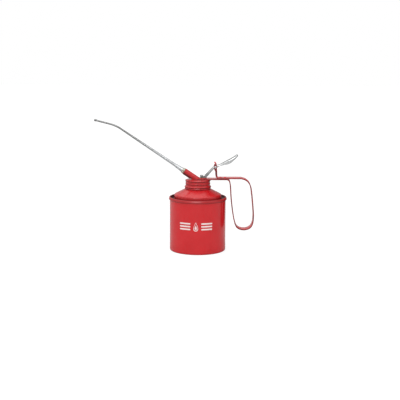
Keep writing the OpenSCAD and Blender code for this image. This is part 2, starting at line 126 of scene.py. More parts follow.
def smooth(points, n=6):
    """Catmull-Rom curve through the points, of any number of dimensions."""
    p = [Vector(q) for q in points]
    out = []
    for i in range(len(p) - 1):
        p0, p1, p2, p3 = p[max(i - 1, 0)], p[i], p[i + 1], p[min(i + 2, len(p) - 1)]
        for k in range(n):
            t = k / n
            out.append(
                0.5 * (2 * p1 + (p2 - p0) * t + (2 * p0 - 5 * p1 + 4 * p2 - p3) * t * t
                       + (3 * p1 - p0 - 3 * p2 + p3) * t * t * t)
            )
    return [tuple(q) for q in out + [p[-1]]]


def sides(path):
    """At each point of a plane path, the leftward direction that keeps a constant thickness."""
    p = [Vector(q) for q in path]
    last = len(p) - 1
    out = []
    for i in range(len(p)):
        a = (p[max(i, 1)] - p[max(i, 1) - 1]).normalized()
        b = (p[min(i, last - 1) + 1] - p[min(i, last - 1)]).normalized()
        a, b = Vector((-a.y, a.x)), Vector((-b.y, b.x))
        out.append((a + b) / (1 + a.dot(b)))
    return out


def sheet(path, t, round_start=True, round_end=True):
    """Outline of a sheet of thickness t along a plane path, with half-round ends."""
    p = [Vector(q) for q in path]
    s = sides(path)
    left = [q + d * t / 2 for q, d in zip(p, s)]
    right = [q - d * t / 2 for q, d in zip(p, s)]

    def nose(i, turn):
        start = math.atan2(s[i].y, s[i].x) + (0 if turn < 0 else math.pi)
        angles = [start - math.pi * k / 6 for k in range(1, 6)]
        return [p[i] + Vector((math.cos(a), math.sin(a))) * t / 2 for a in angles]

    out = left + (nose(-1, -1) if round_end else [])
    out += right[::-1] + (nose(0, 1) if round_start else [])
    return [tuple(q) for q in out]


# ---------- solids, each a bmesh in millimetres ----------


def solid(verts, faces):
    """Bmesh of points and faces, with its faces turned outwards."""
    bm = bmesh.new()
    made = [bm.verts.new(v) for v in verts]
    for f in faces:
        if len(set(f)) > 2:
            bm.faces.new([made[i] for i in dict.fromkeys(f)])
    bmesh.ops.remove_doubles(bm, verts=bm.verts, dist=1e-4)
    bmesh.ops.recalc_face_normals(bm, faces=bm.faces)
    return bm


def rings(loops, wrap=False):
    """Solid skinned over loops of equally many points. wrap joins the last loop to the first."""
    m = len(loops[0])
    verts = [v for loop in loops for v in loop]
    faces = []
    count = len(loops)
    for i in range(count if wrap else count - 1):
        a, b = i * m, (i + 1) % count * m
        faces += [(a + j, a + (j + 1) % m, b + (j + 1) % m, b + j) for j in range(m)]
    if not wrap:
        faces += [tuple(range(m)), tuple(range((count - 1) * m, count * m))]
    return solid(verts, faces)


def lathe(outline, segments=ROUND, shift=None):
    """Closed outline of (radius, height) turned about Z. shift(angle, r, z) gives a point a new radius."""
    loops = []
    for k in range(segments):
        a = 2 * math.pi * k / segments
        c, s = math.cos(a), math.sin(a)
        turned = [(shift(a, r, z) if shift else r, z) for r, z in outline]
        loops.append([(c * r, s * r, z) for r, z in turned])
    return rings(loops, wrap=True)


def moved(bm, matrix):
    """Moves the solid itself and returns it."""
    bmesh.ops.transform(bm, matrix=matrix, verts=bm.verts)
    return bm


def at(x=0.0, y=0.0, z=0.0):
    """Matrix that shifts by x, y and z."""
    return Matrix.Translation((x, y, z))


def along(place, way):
    """Matrix that puts the origin at place and Z along way, a direction in the XZ plane."""
    return Matrix([(way.z, 0, way.x, place.x), (0, 1, 0, place.y),
                   (-way.x, 0, way.z, place.z), (0, 0, 0, 1)])


def on_spout(s):
    """Matrix that puts Z along the spout's axis and the origin at distance s along it."""
    return along(SPOUT_FOOT + SPOUT_AXIS * s, SPOUT_AXIS)


def crosswise(x, z):
    """Matrix that lays Z across the object, at x and z."""
    return at(x, 0, z) @ Matrix.Rotation(math.pi / 2, 4, "X")


def cylinder(r, z0, z1, segments=96):
    """Upright cylinder from z0 to z1."""
    return lathe([(0, z0), (r, z0), (r, z1), (0, z1)], segments)


def stepped(z, *steps):
    """Solid that stands on z and changes its radius by steps of (radius, upper end)."""
    outline = [(0, z)]
    for r, end in steps:
        outline += [(r, outline[-1][1]), (r, end)]
    return lathe(outline + [(0, steps[-1][1])], 96)


def across(outline, y0, y1):
    """Side view outline of (x, z), made solid from y0 to y1."""
    return rings([[(x, y, z) for x, z in outline] for y in (y0, y1)])


def block(x0, x1, z0, z1, half):
    """Rectangular block across the object, from -half to half."""
    return across([(x0, z0), (x1, z0), (x1, z1), (x0, z1)], -half, half)


def cross_cylinder(x, z, r, half):
    """Cylinder across the object, from -half to half."""
    return moved(cylinder(r, -half, half, 48), crosswise(x, z))


def joined(*parts):
    """One bmesh of several separate solids."""
    out = bmesh.new()
    for part in parts:
        mesh = bpy.data.meshes.new("work")
        part.to_mesh(mesh)
        out.from_mesh(mesh)
        bpy.data.meshes.remove(mesh)
    return out


def worked(bm, *steps, tools=()):
    """Applies modifiers, each (type, settings), to a solid. A tool is another solid for a Boolean."""

    def temporary(b):
        mesh = bpy.data.meshes.new("work")
        b.to_mesh(mesh)
        obj = bpy.data.objects.new("work", mesh)
        scene.collection.objects.link(obj)
        return obj

    base = temporary(bm)
    others = [temporary(b) for b in tools]
    for kind, settings in steps:
        modifier = base.modifiers.new(kind, kind)
        for key, value in settings.items():
            setattr(modifier, key, others[value] if key == "object" else value)
    depsgraph = bpy.context.evaluated_depsgraph_get()
    mesh = bpy.data.meshes.new_from_object(base.evaluated_get(depsgraph))
    out = bmesh.new()
    out.from_mesh(mesh)
    bpy.data.meshes.remove(mesh)
    for obj in [base, *others]:
        data = obj.data
        bpy.data.objects.remove(obj)
        bpy.data.meshes.remove(data)
    return out


def combined(bm, operation, *tools):
    """Exact Boolean of a solid with each tool in turn."""
    steps = [("BOOLEAN", {"operation": operation, "solver": "EXACT", "object": i})
             for i in range(len(tools))]
    return worked(bm, *steps, tools=tools)


def cut(bm, *tools):
    """Solid less each tool."""
    return combined(bm, "DIFFERENCE", *tools)


def united(bm, *tools):
    """Solid and tools made into one."""
    return combined(bm, "UNION", *tools)


def softened(bm, width):
    """Rounds every edge that turns by more than 42 degrees."""
    return worked(bm, ("BEVEL", {"width": width, "segments": 2, "limit_method": "ANGLE",
                                 "angle_limit": math.radians(42), "use_clamp_overlap": True}))


def thread(r0, r1, z):
    """Helical ridge from radius r0 to r1 that fades out at both ends."""
    turns, per_turn = 1.6, 72
    root, crest = 0.9, 0.42
    steps = round(turns * per_turn)
    loops = []
    for i in range(steps + 1):
        fade = min(1.0, 0.15 + min(i, steps - i) / (per_turn / 6))
        top = r0 + (r1 - r0) * fade
        a = 2 * math.pi * turns * i / steps
        middle = z + THREAD_PITCH * turns * i / steps
        mid_r = r0 + (top - r0) * 0.8
        section = [(r0, -root), (mid_r, -crest * 1.1), (top, -crest * 0.5), (top, crest * 0.5),
                   (mid_r, crest * 1.1), (r0, root)]
        loops.append([(r * math.cos(a), r * math.sin(a), middle + h) for r, h in section])
    return rings(loops)


# ---------- materials ----------


class Surface:
    """A node material on object coordinates, so that its pattern rides with the piece."""

    def __init__(self, name, **uniform):
        """uniform sets the shader's own sockets, with _ for each space in a socket's name."""
        self.material = bpy.data.materials.new(name)
        self.material.use_nodes = True
        self.tree = self.material.node_tree
        self.shader = self.tree.nodes["Principled BSDF"]
        self.place = self.tree.nodes.new("ShaderNodeTexCoord").outputs["Object"]
        for key, value in uniform.items():
            self.shader.inputs[key.replace("_", " ")].default_value = value

    def node(self, kind, **inputs):
        """New node. inputs are numbers or other nodes' sockets."""
        n = self.tree.nodes.new(kind)
        for key, value in inputs.items():
            self.link(value, n.inputs[key.replace("_", " ")])
        return n

    def link(self, value, socket):
        """Connects a socket, or sets a number or colour."""
        if isinstance(value, bpy.types.NodeSocket):
            self.tree.links.new(value, socket)
        else:
            socket.default_value = value

    def stretched(self, x, y, z):
        """Coordinates whose scale differs by axis, to draw out grain or streaks."""
        n = self.node("ShaderNodeMapping", Vector=self.place)
        n.inputs["Scale"].default_value = (x, y, z)
        return n.outputs["Vector"]

    def noise(self, size, detail=3.0, rough=0.55, place=None):
        """Noise whose features are about size millimetres across, from 0 to 1."""
        n = self.node("ShaderNodeTexNoise", Vector=place or self.place, Scale=1.0 / (size * MM),
                      Detail=detail, Roughness=rough)
        return n.outputs["Fac"]

    def scaled(self, value, a, b, c=0.0, d=1.0):
        """value from a to b becomes c to d, and stays between them."""
        n = self.node("ShaderNodeMapRange", Value=value)
        for key, number in zip(("From Min", "From Max", "To Min", "To Max"), (a, b, c, d)):
            n.inputs[key].default_value = number
        return n.outputs["Result"]

    def math(self, operation, a, b=0.0):
        """Result of a Math node."""
        n = self.tree.nodes.new("ShaderNodeMath")
        n.operation = operation
        self.link(a, n.inputs[0])
        self.link(b, n.inputs[1])
        return n.outputs[0]

    def mix(self, share, a, b):
        """Colour a where share is 0 and b where it is 1."""
        n = self.tree.nodes.new("ShaderNodeMix")
        n.data_type = "RGBA"
        self.link(share, n.inputs["Factor"])
        self.link(a, n.inputs[6])
        self.link(b, n.inputs[7])
        return n.outputs[2]

    def facing(self, axis):
        """Component of the surface's own direction along an axis, from -1 to 1."""
        coordinates = self.tree.nodes.new("ShaderNodeTexCoord")
        return self.node("ShaderNodeSeparateXYZ", Vector=coordinates.outputs["Normal"]).outputs[axis]

    def edges(self, a, b):
        """0 on flat ground and 1 on a sharp outside edge."""
        geometry = self.tree.nodes.new("ShaderNodeNewGeometry")
        return self.scaled(geometry.outputs["Pointiness"], a, b)

    def position(self, axis):
        """Place along an axis of the frame, in millimetres."""
        n = self.node("ShaderNodeSeparateXYZ", Vector=self.place)
        return self.math("DIVIDE", n.outputs[axis], MM)

    def bump(self, *layers):
        """Layers of (height socket, depth in millimetres)."""
        normal = None
        for value, depth in layers:
            n = self.node("ShaderNodeBump", Height=value, Distance=depth * MM)
            if normal:
                self.link(normal, n.inputs["Normal"])
            normal = n.outputs["Normal"]
        self.link(normal, self.shader.inputs["Normal"])

    def paint(self, colour, roughness, metallic=None):
        """Puts the results on the shader and gives the finished material."""
        self.link(colour, self.shader.inputs["Base Color"])
        self.link(roughness, self.shader.inputs["Roughness"])
        if metallic is not None:
            self.link(metallic, self.shader.inputs["Metallic"])
        return self.material


def red_paint(name, shade=None):
    """Glossy enamel. shade(surface) gives where it is darkened, from 0 to 1."""
    s = Surface(name, IOR=1.45, Coat_Weight=0.12, Coat_Roughness=0.05)
    deep, bright = (0.55, 0.009, 0.013, 1), (0.61, 0.013, 0.018, 1)
    colour = s.mix(s.scaled(s.noise(22, 4), 0.3, 0.7), deep, bright)
    # the enamel pulls thin on outside edges, and a few edges are rubbed to the tin
    edge = s.edges(0.53, 0.62)
    colour = s.mix(s.math("MULTIPLY", edge, 0.3), colour, (0.70, 0.05, 0.05, 1))
    patchy = s.scaled(s.noise(3.5, 6, 0.7), 0.60, 0.68)
    rubbed = s.math("MULTIPLY", s.edges(0.58, 0.66), patchy)
    colour = s.mix(rubbed, colour, (0.50, 0.48, 0.46, 1))
    # dust and scuffs just above the table
    foot = s.scaled(s.position("Z"), 5.0, 0.5)
    dusty = s.math("MULTIPLY", foot, s.scaled(s.noise(6, 5, 0.65), 0.45, 0.75, 0, 0.35))
    colour = s.mix(dusty, colour, (0.24, 0.06, 0.05, 1))
    # painted shade: dark under overhangs, joined by the darkening that shade(surface) gives
    painted_shade = s.scaled(s.facing("Z"), -0.25, -0.75, 0, 0.75)
    if shade:
        painted_shade = s.math("MAXIMUM", painted_shade, shade(s))
    colour = s.mix(painted_shade, colour, (0.07, 0.006, 0.007, 1))
    rough = s.math("ADD", s.math("MULTIPLY", painted_shade, 0.4), s.scaled(s.noise(9, 5, 0.6), 0.3, 0.7, 0.16, 0.26))
    fine = s.scaled(s.noise(1.3, 2), 0.3, 0.7)
    dent = s.scaled(s.noise(30, 1), 0.3, 0.7)
    s.bump((dent, 0.12), (fine, 0.004))
    return s.paint(colour, rough, rubbed)


def gutter_shade(s):
    """Painted shade: near-black in the gutter round the shoulder, and less of it on the rim and cone, to dim them
    under the overhead light.
    """
    flat = s.node("ShaderNodeVectorMath", Vector=s.stretched(1 / MM, 1 / MM, 0))
    flat.operation = "LENGTH"
    radius = flat.outputs["Value"]
    outside = s.scaled(radius, 32.4, 33.2)
    inside = s.scaled(radius, BODY_R + 0.5, BODY_R)
    below = s.scaled(s.position("Z"), BODY_H + 0.4, BODY_H - 0.4)
    gutter = s.math("MULTIPLY", s.math("MULTIPLY", outside, inside), below)
    return s.math("MAXIMUM", gutter, s.scaled(radius, BODY_R - 0.6, BODY_R + 0.2, 0.17, 0.40))


def head_shade(s):
    """Painted shade: an uneven darkening over the cap and boss, and more of it under the boss."""
    thin = s.scaled(s.noise(4, 5, 0.6), 0.35, 0.65, 0.14, 0.4)
    return s.math("MAXIMUM", thin, s.scaled(s.facing("Z"), 0.12, -0.38, 0, 0.9))


def darker_strip_sides(s):
    """Darker colour on the strip's side faces."""
    side = s.math("ABSOLUTE", s.facing("Y"))
    return s.math("MULTIPLY", s.scaled(side, 0.6, 0.9), s.scaled(s.noise(5, 4), 0.3, 0.7, 0.65, 0.95))


def plated(name, dark, light, painted_dark=None):
    """Bright zinc plate, streaked and stained. The optional function gives where it is painted darker: shade on
    the lever, dark reflections on the spout.
    """
    s = Surface(name)
    streak = s.noise(2.2, 5, 0.6, s.stretched(1, 1, 0.25))
    colour = s.mix(s.scaled(streak, 0.35, 0.7), dark, light)
    stain_and_shade = s.scaled(s.noise(7, 6, 0.7), 0.58, 0.72, 0, 0.5)
    if painted_dark:
        stain_and_shade = s.math("MAXIMUM", stain_and_shade, painted_dark(s))
    # dark colour for stains, and for the painted shade and painted dark reflections given above
    colour = s.mix(stain_and_shade, colour, (0.16, 0.16, 0.155, 1))
    rough = s.scaled(s.noise(1.6, 6, 0.65), 0.3, 0.7, 0.22, 0.4)
    s.bump((s.noise(5, 3), 0.02), (s.noise(0.5, 4), 0.0025))
    return s.paint(colour, rough, 1.0)


def towards_tip(s):
    """Painted darkening of the spout's plate towards the tip, standing in for dark reflections."""
    return s.scaled(s.position("X"), -45, -98, 0, 0.85)


def lever_shade(s):
    """Painted shade on the lever's leg and fork and on the pin that it works, and a darkened top that dims the
    overhead reflection.
    """
    leg_shade = s.scaled(s.position("X"), 27, 9, 0, 0.85)
    # painted darkening of the up-facing top, which dims its reflection of the overhead light
    worn = s.scaled(s.facing("Z"), 0.5, 0.8, 0, 0.5)
    return s.math("MAXIMUM", leg_shade, worn)


def machined(name, dark, light, rough_low, rough_high):
    """Turned or drawn metal, with fine rings round Z."""
    s = Surface(name)
    rings_of_tool = s.noise(0.35, 4, 0.6, s.stretched(0.15, 0.15, 1.0))
    patch = s.noise(4, 5, 0.6)
    colour = s.mix(s.scaled(patch, 0.35, 0.7), dark, light)
    rough = s.scaled(patch, 0.3, 0.7, rough_low, rough_high)
    s.bump((rings_of_tool, 0.006), (s.noise(0.4, 3), 0.002))
    return s.paint(colour, rough, 1.0)


def soft(name, dark, light, size, rough, depth):
    """Leather, fibre, rubber or packing."""
    s = Surface(name)
    grain = s.noise(size, 6, 0.65)
    colour = s.mix(s.scaled(grain, 0.3, 0.7), dark, light)
    s.bump((grain, depth), (s.noise(size * 5, 2), depth * 2))
    return s.paint(colour, s.scaled(grain, 0.3, 0.7, rough, rough + 0.15))


def print_ink():
    """Pale ink, worn through in specks."""
    s = Surface("print_ink", Coat_Weight=0.4, Coat_Roughness=0.1)
    speck = s.scaled(s.noise(0.8, 5, 0.7), 0.62, 0.72, 0, 0.5)
    cream = s.mix(s.scaled(s.noise(5, 3), 0.3, 0.7), (0.80, 0.66, 0.64, 1), (0.88, 0.76, 0.74, 1))
    s.bump((s.noise(0.6, 3), 0.006))
    return s.paint(s.mix(speck, cream, (0.62, 0.20, 0.19, 1)), s.scaled(speck, 0, 0.5, 0.3, 0.5))


MATERIALS = {
    "red_paint": red_paint("red_enamel"),
    "plated": plated("zinc_plate", (0.46, 0.47, 0.48, 1), (0.70, 0.71, 0.72, 1)),
    "steel": machined("drawn_steel", (0.46, 0.46, 0.47, 1), (0.66, 0.66, 0.67, 1), 0.2, 0.34),
    "strainer_steel": machined("strainer_sheet", (0.5, 0.5, 0.5, 1), (0.68, 0.68, 0.68, 1), 0.3, 0.45),
    "brass": machined("turned_brass", (0.46, 0.30, 0.10, 1), (0.78, 0.57, 0.26, 1), 0.2, 0.38),
    "rubber": soft("rubber_seal", (0.018, 0.018, 0.018, 1), (0.04, 0.04, 0.04, 1), 0.6, 0.6, 0.01),
    "fibre": soft("red_fibre", (0.26, 0.07, 0.04, 1), (0.42, 0.14, 0.08, 1), 0.5, 0.6, 0.015),
    "packing": soft("waxed_packing", (0.36, 0.28, 0.16, 1), (0.62, 0.52, 0.34, 1), 0.5, 0.5, 0.03),
    "leather": soft("oiled_leather", (0.12, 0.05, 0.02, 1), (0.30, 0.15, 0.07, 1), 0.7, 0.35, 0.03),
}
INK = print_ink()
SHOULDER_PAINT = red_paint("shoulder_enamel", gutter_shade)
STRIP_PAINT = red_paint("strip_enamel", darker_strip_sides)
HEAD_PAINT = red_paint("head_enamel", head_shade)
SPOUT_PLATE = plated("spout_plate", (0.46, 0.47, 0.48, 1), (0.62, 0.63, 0.64, 1), towards_tip)
LEVER_PLATE = plated("lever_plate", (0.60, 0.61, 0.61, 1), (0.78, 0.79, 0.79, 1), lever_shade)
NUT_PLATE = plated("nut_plate", (0.37, 0.345, 0.27, 1), (0.62, 0.585, 0.475, 1))


# ---------- placing pieces ----------


def piece(name, bm, body, slot, *nodes, material=None):
    """Cleans a solid and makes it a shown piece that rides on a body and stands for CAD nodes."""
    bmesh.ops.triangulate(bm, faces=[f for f in bm.faces if len(f.verts) > 4])
    bmesh.ops.remove_doubles(bm, verts=bm.verts, dist=1e-4)
    bmesh.ops.dissolve_degenerate(bm, edges=bm.edges, dist=1e-3)
    bmesh.ops.delete(bm, geom=[e for e in bm.edges if not e.link_faces], context="EDGES")
    bmesh.ops.scale(bm, vec=(MM, MM, MM), verts=bm.verts)
    mesh = bpy.data.meshes.new(name)
    bm.to_mesh(mesh)
    bm.free()
    mesh.shade_smooth()
    mesh.set_sharp_from_angle(angle=math.radians(SMOOTH_BELOW))
    mesh.materials.append(material or MATERIALS[slot])
    obj = bpy.data.objects.new(name, mesh)
    scene.collection.objects.link(obj)
    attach(obj, body)
    if nodes:
        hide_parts(*nodes)
    return obj


def kept(slot_of):
    """Gives every CAD node that stays its procedural material."""
    for name, obj in frame["nodes"].items():
        if obj.hide_render:
            continue
        obj.data.materials.clear()
        obj.data.materials.append(MATERIALS[slot_of[name]])


# ---------- the tin ----------


def tin_body():
    """Sheet cylinder with a soldered lap seam at the back."""
    seam_half, lap, slope = 4.0, 0.4, 0.8
    seam_low, seam_high = 3, BODY_H - 5.5

    def lap_seam(a, r, z):
        """Radius of the wall, raised on its outside at the seam, with sloping sides and ends."""
        if r < BODY_WALL_R or not seam_low < z < seam_high:
            return r
        from_seam = abs(a - math.pi / 2) * BODY_R
        rise = min(1, max(0, (seam_half - from_seam) / slope))
        return r + lap * rise * min(1, z - seam_low, seam_high - z)

    levels = (seam_low, 3.5, 4, 20, 36, 52, seam_high - 1, seam_high - 0.5, seam_high, BODY_H - 1.8)
    path = arc(BODY_R - 2, 1.45, 2 - SHEET_T / 2, -45, 0, 8) + [(BODY_WALL_R, z) for z in levels]
    return lathe(sheet(path, SHEET_T), 288, lap_seam)


def tin_base():
    """Pressed base: a flat panel inside a rounded standing ring."""
    wall_r, fold = BODY_R - SHEET_T * 1.5 - 0.05, 1.2
    ring_z = SHEET_T / 2 + fold
    path = ([(0, 3.0), (12, 3.02), (26, 3.1)] + arc(wall_r - 4.2, 2, fold, 90, 0)
            + arc(wall_r - 1.8, ring_z, fold, 180, 270) + arc(wall_r - fold, ring_z, fold, 270, 360)
            + [(wall_r, 6)])
    return lathe(sheet(path, SHEET_T, round_start=False))


def tin_shoulder():
    """Cone, steep ridge, gutter and the seam rolled over the body's edge, all one sheet."""
    ridge_r, ridge_round, gutter_round = 32.6, 2.3, 1.8
    gutter_z = BODY_H - 2
    seam_in = BODY_R - SHEET_T * 1.5 - 0.1
    seam_round = 0.75
    cone = smooth([(NECK_R + 0.1, CAP_BOTTOM), (NECK_R + 1.7, CAP_BOTTOM),
                   (NECK_R + 2.9, CAP_BOTTOM - 0.3), (NECK_R + 5.1, CAP_BOTTOM - 1.3),
                   (NECK_R + 9.7, CAP_BOTTOM - 3.7)], 5)
    path = (cone + arc(ridge_r - ridge_round, BODY_H + 2, ridge_round, 61, 0, 12)
            + arc(ridge_r + gutter_round, gutter_z, gutter_round, 180, 270)
            + arc(seam_in - gutter_round, gutter_z, gutter_round, 270, 360)
            + arc(seam_in + seam_round, BODY_H - SHEET_T / 2 - seam_round, seam_round, 180, 15, 14)
            + smooth([(SEAM_R - 0.3, BODY_H - 1.7), (SEAM_R - 0.05, BODY_H - 2.4),
                      (SEAM_R, BODY_H - 2.9), (SEAM_R - 0.15, BODY_H - 3.3),
                      (SEAM_R - 0.6, BODY_H - 3.5)], 4))
    return lathe(sheet(path, SHEET_T), 256)


def tin_neck():
    """Neck with a rolled top edge, a soldered flange and a male thread."""
    flange_z = CAP_BOTTOM + SHEET_T / 2 + 0.05
    bore_r, flange_r = NECK_R - 0.8, NECK_R + 1.4
    outline = ([(bore_r, flange_z - 2), (NECK_R - 0.2, flange_z - 2), (NECK_R, flange_z - 1.8),
                (NECK_R, flange_z), (flange_r, flange_z)]
               + arc(flange_r, flange_z + 0.2, 0.2, -90, 90, 4)
               + [(flange_r, flange_z + 0.5), (NECK_R + 0.5, flange_z + 0.6), (NECK_R, flange_z + 1.1)]
               + arc(NECK_R - 0.4, NECK_TOP - 0.4, 0.4, 0, 180, 8) + [(bore_r, NECK_TOP - 0.5)])
    return united(lathe(outline, 144), thread(NECK_R - 0.3, NECK_R + 1.25, THREAD_START))


def oil_drop_print():
    """Generic printed sign on the front: an oil drop between three bars on each side."""
    centre_x, centre_z = -2.5, 39.5
    skin, stand_off = 0.03, 0.02
    bar_in, bar_out, bar_half, bar_step = 7.4, 23.4, 1.0, 3.9

    def drop(width, height):
        """Outline of a drop, its round end down."""
        n = 40
        out = []
        for k in range(n):
            a = 2 * math.pi * k / n
            taper = math.sin(a / 2) ** 1.5
            out.append((-width * math.sin(a) * taper, height * math.cos(a)))
        return out

    def bar(x0, x1, z):
        """Bar with round ends."""
        return (arc(x0 + bar_half, z, bar_half, 90, 270, 8)
                + arc(x1 - bar_half, z, bar_half, -90, 90, 8))

    def wrapped(points, hole=None):
        """Flat shape cut fine, then bent round the tin's front."""
        bm = bmesh.new()
        outer = [bm.verts.new((x, 0, z)) for x, z in points]
        edges = [bm.edges.new((outer[i - 1], outer[i])) for i in range(len(outer))]
        if hole:
            inner = [bm.verts.new((x, 0, z)) for x, z in hole]
            edges += [bm.edges.new((inner[i - 1], inner[i])) for i in range(len(inner))]
        bmesh.ops.triangle_fill(bm, edges=edges, use_beauty=True)
        for x in range(-30, 31):
            bmesh.ops.bisect_plane(bm, geom=bm.verts[:] + bm.edges[:] + bm.faces[:],
                                   plane_co=(x, 0, 0), plane_no=(1, 0, 0))
        bmesh.ops.recalc_face_normals(bm, faces=bm.faces)
        grown = bmesh.ops.extrude_face_region(bm, geom=bm.faces[:])
        lifted = {v for v in grown["geom"] if isinstance(v, bmesh.types.BMVert)}
        for v in bm.verts:
            r = BODY_R + stand_off + (skin if v in lifted else 0)
            a = (v.co.x + centre_x) / BODY_R
            v.co = (r * math.sin(a), -r * math.cos(a), centre_z + v.co.z)
        bmesh.ops.recalc_face_normals(bm, faces=bm.faces)
        return bm

    core = [(x, z - 1.1) for x, z in drop(2.2, 3.1)]
    shapes = [wrapped(drop(4.6, 6.4), drop(3.7, 5.2)), wrapped(core)]
    for z in (-bar_step, 0, bar_step):
        for x0, x1 in ((-bar_out, -bar_in), (bar_in, bar_out)):
            shapes.append(wrapped(bar(x0, x1, z)))
    return joined(*shapes)


# ---------- cap ----------


def cap_shell():
    """Spun cap: a rolled rim, two beads that the thread presses out, and the hole for the stem."""
    r, lip_z, bead_z = CAP_WALL_R, CAP_TOP - 1.2, CAP_BOTTOM + 3.2
    wall = smooth([(r + 0.8, CAP_BOTTOM + 0.3), (r + 1.05, CAP_BOTTOM + 0.95),
                   (r + 0.75, CAP_BOTTOM + 1.8), (r + 1.05, bead_z - 0.65), (r + 1.5, bead_z),
                   (r + 1.05, bead_z + 0.65), (r + 0.35, bead_z + 1.2), (r, bead_z + 1.9),
                   (r, bead_z + 3.4), (r + 0.16, bead_z + 3.95), (r + 0.3, bead_z + 4.3),
                   (r + 0.16, bead_z + 4.65), (r, bead_z + 5.2), (r, lip_z - 1)], 5)
    top = CAP_TOP - SHEET_T / 2
    path = (wall + arc(r - 0.1, lip_z, 0.6, -40, 110, 14)
            + [(r - 1.6, top), (r - 2.6, top), (8, top), (0, top)])
    shell = lathe(sheet(path, SHEET_T, round_end=False), 216)
    shell = cut(shell, moved(cylinder(STEM_R + 0.05, CAP_TOP - 3, CAP_TOP + 3), at(PUMP_X)))
    return united(shell, thread(r + 0.05, r - 1.5, THREAD_START + THREAD_PITCH / 2))


# ---------- handle ----------


def strip_solid(path, half_width):
    """Flat strip with rounded edges along a side view path. half_width is a function of the point."""
    loops = []
    for (x, z), d in zip(path, sides(path)):
        w, h = half_width(x, z), STRIP_T / 2
        c = min(0.4, w * 0.5)
        section = []
        for sx, sh, start in ((1, 1, 0), (-1, 1, 90), (-1, -1, 180), (1, -1, 270)):
            for k in range(4):
                a = math.radians(start + 30 * k)
                section.append((sx * (w - c) + c * math.cos(a), sh * (h - c) + c * math.sin(a)))
        loops.append([(x + d.x * q, y, z + d.y * q) for y, q in section])
    return rings(loops)


def handle():
    """One strip: from under the pump head, down and round the finger loop, back over itself, and up."""
    z = CAP_TOP + STRIP_T / 2
    end_x = -1.0
    corner_x, corner_round = 39.6, 4.8
    upper = z + STRIP_T
    round_end = [(end_x - HALF_STRIP * math.cos(math.radians(a)), z) for a in range(4, 90, 6)]
    out = (round_end + [(end_x + 4, z), (corner_x, z)]
           + arc(corner_x, z - corner_round, corner_round, 80, 15, 10)
           + smooth([(45.3, z - 9), (46.7, z - 29), (49.5, z - 50), (52.6, z - 63), (56.7, z - 68.6),
                     (64.6, z - 70.6), (72.6, z - 68.2), (76.7, z - 61.6), (77.7, z - 51), (77, z - 40),
                     (75.9, z - 28), (74.3, z - 15), (72.8, z - 8.6), (70, z - 3.6), (65.6, z - 0.2),
                     (60, upper)], 8)
           + [(44, upper), (30, upper)])
    turn_up = smooth([(28.6, upper), (27.3, upper + 0.3), (26.5, z + 3.1), (26.2, z + 5.4),
                      (25.8, PIVOT.z - 4), (25.1, PIVOT.z + 3.6), (24.5, PIVOT.z + 5),
                      (22.9, PIVOT.z + 7.0)])
    ear_half = EAR_IN + STRIP_T
    neck_z, neck_len = STRIP_TOP + 1.0, 2.4
    top_z, top_len = PIVOT.z + 7.4, 4.2

    def half_width(x, height):
        """Half width: round at the strip's end, and narrower to a round top where it stands up."""
        if x < end_x:
            return math.sqrt(max(HALF_STRIP ** 2 - (x - end_x) ** 2, 0.09))
        if height > neck_z and x < 29:
            neck = min(1, (height - neck_z) / neck_len)
            w = HALF_STRIP + (ear_half - HALF_STRIP) * neck * neck * (3 - 2 * neck)
            return w * math.sqrt(max(0.05, 1 - max(0, (height - top_z + top_len) / top_len) ** 2.4))
        return HALF_STRIP

    strip = strip_solid(out + turn_up, half_width)
    front = smooth([(26.0, STRIP_TOP + 1.6), (24.9, STRIP_TOP + 2.6), (24.3, STRIP_TOP + 4.4),
                    (23.9, PIVOT.z - 6.4), (22.9, PIVOT.z - 3.6), (22.1, PIVOT.z - 1.0),
                    (22.2, PIVOT.z + 1.6), (23.1, PIVOT.z + 3.2), (24.7, PIVOT.z + 3.7)], 5)
    ear = front + [(25.4, PIVOT.z + 2.6), (25.7, PIVOT.z - 4), (26.2, STRIP_TOP + 3)]
    ears = [across(ear, *sorted((side * (EAR_IN + 0.02), side * ear_half))) for side in (-1, 1)]
    body = united(strip, *ears)
    window = block(18, 30, PIVOT.z - 5, PIVOT.z + 3.7, EAR_IN)
    holes = [cross_cylinder(PIVOT.x, PIVOT.z, PIVOT_R + 0.01, 9),
             moved(cylinder(STEM_R + 0.05, CAP_TOP - 2, STRIP_TOP + 0.5), at(PUMP_X))]
    return softened(cut(body, window, *holes), 0.16)


def rivets():
    """Two rivets with domed heads on both faces of the doubled strip."""
    layers = 2 * STRIP_T
    dome_r, head_h = 2.7, 0.9
    dome = arc(0, head_h - dome_r, dome_r, math.degrees(math.asin(1.85 / dome_r)), 90, 8)
    head = [(1.2, 0.0), (2.0, 0.0), (2.02, 0.08)] + dome[:-1] + [(0, head_h)]
    profile = [(r, -h) for r, h in head[::-1]] + [(r, layers + h) for r, h in head]
    return joined(*[moved(lathe(profile, 48), at(x, 0, CAP_TOP)) for x in RIVETS_X])


# ---------- pump head ----------


